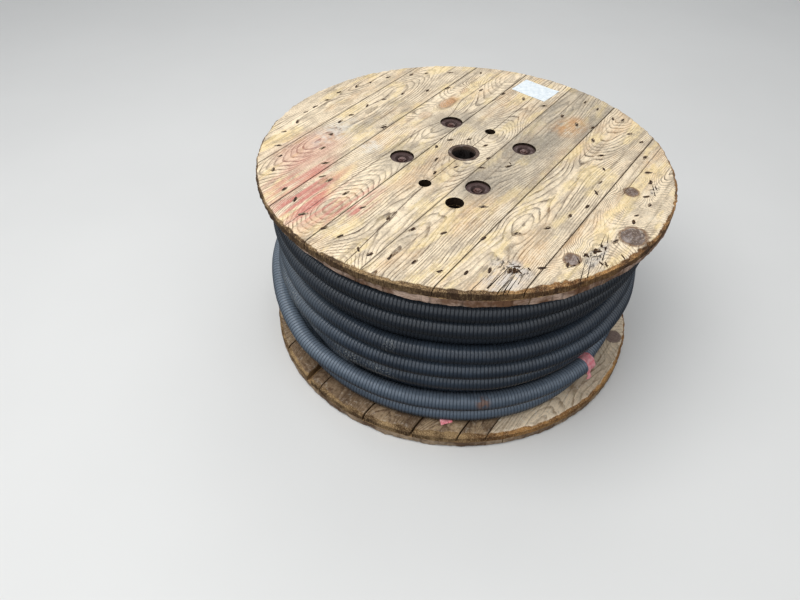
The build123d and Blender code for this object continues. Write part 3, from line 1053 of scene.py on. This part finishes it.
# each turn from the top: its distance and height in front, then where it strays: azimuth, out, up
turns = {
    "cable_turn_1": (.948, .872, [(15, 0, 0), (45, 0, .012)]),
    "cable_turn_2": (.950, .781, [(15, 0, 0), (30, -.005, .018), (45, -.010, .030), (60, -.010, .035)]),
    "cable_turn_3": (.907, .703, [(15, 0, 0), (45, 0, .030)]),
    "cable_turn_4": (.950, .624, [(-60, -.010, 0), (-45, -.012, 0), (-30, -.010, 0), (-15, 0, 0), (15, 0, 0),
                                  (30, -.010, 0), (45, -.022, 0), (60, -.022, 0)]),
    "cable_turn_5": (.950, .525, [(0, 0, 0)]),
    "cable_turn_6": (.942, .435, [(-75, -.042, 0), (-60, -.042, 0), (-45, -.028, 0), (-30, -.010, 0),
                                  (15, -.006, 0), (30, -.020, 0), (45, -.030, 0), (60, -.030, 0)]),
}
# the two lowest turns by themselves: azimuth, distance, height
lowest_turn = [(-90, .85, .22), (-75, .855, .165), (-60, .87, .135), (-45, .88, .130), (15, .88, .129),
               (30, .875, .129), (45, .862, .129), (60, .85, .150), (75, .875, .235), (90, .90, .320)]
last_turn = [(-90, .955, .400), (-75, .955, .385), (-60, .955, .325), (-45, .945, .265), (-30, .915, .238),
             (-15, .90, .222), (0, .89, .218), (15, .89, .218), (30, .887, .216), (45, .890, .211),
             (60, .905, .215)]
cable_end = 50.0
# turns of the layer below, seen in the gaps: distance in front and height
under_turns = [(.80, .129), (.80, .220), (.845, .315)]
under_shift = .0225           # they stand this far forward of the drum's axis
# the layers behind the upper turns, one cylinder: its radius, how far forward it stands, where it starts
hidden_layers = .835
hidden_shift = .035
hidden_from = .370


def turn_table(front_distance, front_height, strays):
    """The rows of one turn in front: azimuth, distance and height."""
    rows = []
    for azimuth in range(-90, 91, 15):
        out = between(strays, azimuth) + between(sides, azimuth)
        rows.append((azimuth, front_distance + out, front_height + between(strays, azimuth, 2)))
    return rows


def crossing(before, after, azimuth, bulge):
    """Behind the drum, the cable climbs from one turn's place to the next one's."""
    share = (azimuth - 90) / 180
    eased = share * share * (3 - 2 * share)
    start, end = before[-1], after[0]
    distance = start[1] + eased * (end[1] - start[1]) + bulge * math.sin(math.pi * share)
    height = start[2] + eased * (end[2] - start[2])
    return distance, height


def cable_route(tables, bulges, number, end):
    """The points of one turn from its start behind the drum to its end azimuth, and one more beyond each."""
    points = []
    start = -180
    count = round((end - start) / route_step)
    for k in range(-1, count + 2):
        azimuth = start + k * (end - start) / count
        if azimuth < -90:
            distance, height = crossing(tables[number - 1], tables[number], azimuth + 360, bulges[number - 1])
        elif azimuth > 90:
            distance, height = crossing(tables[number], tables[number + 1], azimuth, bulges[number])
        else:
            distance, height = between(tables[number], azimuth), between(tables[number], azimuth, 2)
        points.append(around(azimuth, distance, height))
    return points


def path_curve(name, points):
    """A smooth open curve through points. The first and the last only steer its ends."""
    curve = bpy.data.curves.new(name, "CURVE")
    curve.dimensions = "3D"
    curve.resolution_u = 10
    spline = curve.splines.new("BEZIER")
    spline.bezier_points.add(len(points) - 3)
    for knot, before, point, after in zip(spline.bezier_points, points, points[1:], points[2:]):
        reach = (after - before) / 6
        knot.co = point
        knot.handle_left_type = knot.handle_right_type = "FREE"
        knot.handle_left, knot.handle_right = point - reach, point + reach
    path = bpy.data.objects.new(name, curve)
    bpy.context.collection.objects.link(path)
    return path


def rib_unit():
    """One rib of the cable along X: a ring extruded over a crest and down into a groove."""
    crest = cable_radius * radius
    now = crest - rib_depth
    unit = new_piece(bpy.ops.mesh.primitive_circle_add, "rib_unit", vertices=16, radius=now,
                     location=(0, 0, 0), rotation=(0, math.pi / 2, 0))
    settle(unit)
    edit(unit)
    bpy.ops.mesh.select_mode(type="VERT")
    select_all()
    for advance, depth in rib_profile:
        bpy.ops.mesh.extrude_region_move(TRANSFORM_OT_translate={"value": (advance, 0, 0)})
        ratio = (crest - depth) / now
        bpy.ops.transform.resize(value=(1, ratio, ratio))
        now = crest - depth
    leave_edit()
    # the groove faces take the darker copy: painted shade
    coat(unit, "jacket", "groove")
    for face in unit.data.polygons:
        face.material_index = int(not groove_side < face.center.x < rib_pitch - groove_side)
    return unit


def ribbed_cable(name, unit, points):
    """The rib repeated along a path, its ends closed."""
    path = path_curve(name + "_path", points)
    length = path.data.splines[0].calc_length()
    count = round(length / rib_pitch)
    cable = copy_of(unit, name)
    modify(cable, "ARRAY", count=count, use_relative_offset=False, use_constant_offset=True,
           constant_offset_displace=(length / count, 0, 0), use_merge_vertices=True, merge_threshold=0.0001)
    modify(cable, "CURVE", object=path, deform_axis="POS_X")
    edit(cable)
    bpy.ops.mesh.select_mode(type="EDGE")
    bpy.ops.mesh.select_all(action="DESELECT")
    bpy.ops.mesh.select_non_manifold()
    bpy.ops.mesh.edge_face_add()
    select_all()
    bpy.ops.mesh.normals_make_consistent(inside=False)
    leave_edit()
    bpy.data.objects.remove(path)
    smooth(cable, 50)
    mount(cable, "cable_jacket", "cable_winding")


def winding():
    """The outermost turns one by one, the turns that show under them, and a core with grooved ends."""
    unit = rib_unit()
    start_level = [(90, .90, .8954)]
    tables = [turn_table(*shape) for shape in turns.values()] + [lowest_turn, last_turn, start_level]
    bulges = [-0.050] * 6 + [0] * 3
    names = [*turns, "lowest_cable_turn", "last_cable_turn"]
    for number, name in enumerate(names):
        end = cable_end if name == "last_cable_turn" else 180
        ribbed_cable(name, unit, cable_route(tables, bulges, number, end))
    forward = Vector((0, -under_shift * radius, 0))
    for number, (distance, height) in enumerate(under_turns, 1):
        ring = [around(azimuth, distance - under_shift, height) + forward for azimuth in range(-10, 371, 10)]
        ribbed_cable(f"under_turn_{number}", unit, ring)
    bpy.data.objects.remove(unit)
    winding_core()


def winding_core():
    """The hidden layers: a wall under the outer turns, its ends grooved between the layers."""
    bore = 0.2037
    wall = 0.396
    layer = 0.0465
    half_turn = 0.024
    dip = 0.012                 # how deep the grooves between the layers are
    shoulder = 0.0025
    low, high = lower_face + 0.0005, upper_face - 0.0005
    outline = []
    for k in range(4):
        crest = bore + half_turn + k * layer
        outline += [(crest - half_turn, dip), (crest - half_turn / 2, shoulder), (crest, 0),
                    (crest + half_turn / 2, shoulder)]
    outline.append((wall, dip))
    section = [(out, low + depth) for out, depth in outline]
    section += [(out, high - depth) for out, depth in reversed(outline)]
    core = new_piece(bpy.ops.mesh.primitive_circle_add, "winding_core", vertices=len(section), radius=0.1)
    for vertex, (out, height) in zip(core.data.vertices, section):
        vertex.co = (out, 0, height)
    edit(core)
    bpy.ops.mesh.select_mode(type="VERT")
    select_all()
    bpy.ops.mesh.spin(steps=120, angle=math.tau, center=(0, 0, 0), axis=(0, 0, 1))
    select_all()
    bpy.ops.mesh.remove_doubles(threshold=0.00005)
    bpy.ops.mesh.normals_make_consistent(inside=False)
    leave_edit()
    start, end = hidden_from * radius, high - dip
    layers = cylinder("hidden_layers", 120, hidden_layers * radius, end - start,
                      (0, -hidden_shift * radius, (end + start) / 2))
    core = join([core, layers], "winding_core")
    present(core, "jacket", 30, "cable_jacket", "cable_winding")


# cap, tape and label

def cable_cap():
    """A crumpled pink cap pulled over the cable's end, with a loose tail of tape."""
    end = around(cable_end, between(last_turn, cable_end), between(last_turn, cable_end, 2))
    heading = math.radians(cable_end)
    cap = cylinder("cap", 28, cable_radius * radius * 1.03, 0.034, turn=(0, math.pi / 2, 0))
    edit(cap)
    for place in (-0.010, -0.004, 0.002, 0.008, 0.013):
        slice_all((place, 0, 0), (1, 0, 0))
    select_faces(cap, lambda place, normal: normal.x > 0.9)
    for step, push in ((0.004, 0.002), (0.006, 0.001), (0.006, -0.003)):
        bpy.ops.mesh.inset(thickness=step)
        bpy.ops.transform.translate(value=(push, 0, 0))
    leave_edit()
    modify(cap, "SUBSURF", levels=1, render_levels=1)
    displace(cap, "NORMAL", 0.007, 0.55, clouds("crumple", 0.012, 3), coords="LOCAL")
    tail = sheet("tail", 8, 6, 0.016, 0.030)
    displace(tail, "Z", 0.012, 0.5, clouds("fold", 0.010), coords="LOCAL")
    modify(tail, "SOLIDIFY", thickness=0.0008)
    lay(tail, (-0.010, -0.026, -0.014), (math.radians(70), 0, 0))
    cap = join([cap, tail], "crumpled_cap")
    lay(cap, end + Vector((math.cos(heading), math.sin(heading), 0)) * 0.013, (0, 0, heading))
    present(cap, "tape", 60, "pink_cap", "cable_end_cap")


def tape_scrap():
    """A scrap of pink tape caught under the lowest turn."""
    scrap = sheet("tape_scrap", 14, 12, 0.030, 0.022)
    displace(scrap, "Z", 0.016, 0.4, clouds("scrap_fold", 0.011), coords="LOCAL")
    modify(scrap, "SOLIDIFY", thickness=0.0006)
    lay(scrap, around(2.2, 0.910, 0.098), [math.radians(degrees) for degrees in (28, -8, 20)])
    present(scrap, "tape", 60, "pink_cap")


def paper_label():
    """A bare paper label stuck on the upper face, one corner lifted."""
    label = sheet("paper_label", 24, 16)
    corners = [on_boards(*corner) for corner in ((-.140, .750), (.075, .72), (.092, .877), (-.130, .910))]
    for vertex in label.data.vertices:
        s, t = vertex.co.x + 0.5, vertex.co.y + 0.5
        weights = ((1 - s) * (1 - t), s * (1 - t), s * t, (1 - s) * t)
        x = sum(w * c[0] for w, c in zip(weights, corners))
        y = sum(w * c[1] for w, c in zip(weights, corners))
        lift = 0.016 * max(0, s + t - 1.55) ** 2
        vertex.co = (x, y, top + 0.0004 + lift)
    displace(label, "Z", 0.0012, 0.4, clouds("paper", 0.03))
    modify(label, "SOLIDIFY", thickness=0.00025, offset=1)
    present(label, "paper", 40, "pale_pine")


def dress_frame():
    """The nodes whose shape is right get their finish."""
    dressed = {"bushing": "bushing", "washers": "washer", "tie_": "bolt", "barrel": "between"}
    for name, node in frame["nodes"].items():
        for word, finish in dressed.items():
            if word in name:
                for slot in node.material_slots:
                    slot.material = finishes[finish]


# studio

def pale_floor():
    """A floor that the camera sees pale. It throws little light back up."""
    floor = new_piece(bpy.ops.mesh.primitive_plane_add, "floor", size=30)
    stone = Finish("pale_floor")
    seen = stone.add("LightPath", output="Is Camera Ray")
    mottle = stone.noise(2, 3)
    pale = stone.mix(mottle, paint(222, 222, 220), paint(228, 228, 226))
    stone.start(seen, paint(120, 120, 120), pale)
    floor.data.materials.append(stone.done(0.9, specular=0.1))


def soft_world():
    """Soft bluish light from all sides. The camera and reflections see plain white."""
    world = bpy.data.worlds.new("studio")
    bpy.context.scene.world = world
    nodes = Nodes(world)
    nodes.tree.nodes.clear()
    rays = nodes.add("LightPath").socket.node.outputs
    kinds = ("Camera", "Glossy", "Transmission")
    camera, glossy, clear = (Wire(nodes, rays[f"Is {kind} Ray"]) for kind in kinds)
    light = nodes.add("Background", None, {"Color": (0.93, 0.96, 1, 1), "Strength": 0.42})
    shown = nodes.add("Background", None, {"Color": (1, 1, 1, 1), "Strength": 1})
    blend = nodes.add("MixShader", None, {0: camera.limited(glossy + clear), 1: light, 2: shown})
    nodes.feed(nodes.tree.nodes.new("ShaderNodeOutputWorld"), {"Surface": blend})


def soft_lamp(name, place, size, power):
    """A round lamp that faces the middle of the drum."""
    middle = Vector((0, 0, 0.3))
    lamp = new_piece(bpy.ops.object.light_add, name, type="AREA", location=place)
    lamp.data.shape = "DISK"
    lamp.data.size = size
    lamp.data.energy = power
    lamp.rotation_euler = (middle - Vector(place)).to_track_quat("-Z", "Y").to_euler()


def photo_camera():
    """The camera at the photograph's viewing angle."""
    place = Vector((0, -2.7441, 2.6346)) * radius
    pitch, yaw, roll = 0.7636, -0.1079, 0.0202
    camera = new_piece(bpy.ops.object.camera_add, "camera")
    matrix = Matrix.Translation(place)
    for angle, axis in ((-yaw, "Z"), (math.pi / 2 - pitch, "X"), (roll, "Z")):
        matrix = matrix @ Matrix.Rotation(angle, 4, axis)
    camera.matrix_world = matrix
    camera.data.lens = 28.554
    camera.data.sensor_width = 36
    camera.data.clip_end = 100
    bpy.context.scene.camera = camera


dress_frame()
flanges()
winding()
cable_cap()
tape_scrap()
paper_label()

photo_camera()
pale_floor()
soft_world()
soft_lamp("key", (-1.2, -0.9, 3.7), 3, 94)
soft_lamp("fill", (1.9, -2.2, 3), 2.4, 16)
soft_lamp("front", (-0.7, -3.4, 1.5), 2.4, 12)
soft_lamp("back", (0.4, 2.4, 3.4), 2.6, 22)
bpy.context.scene.view_settings.view_transform = "Standard"
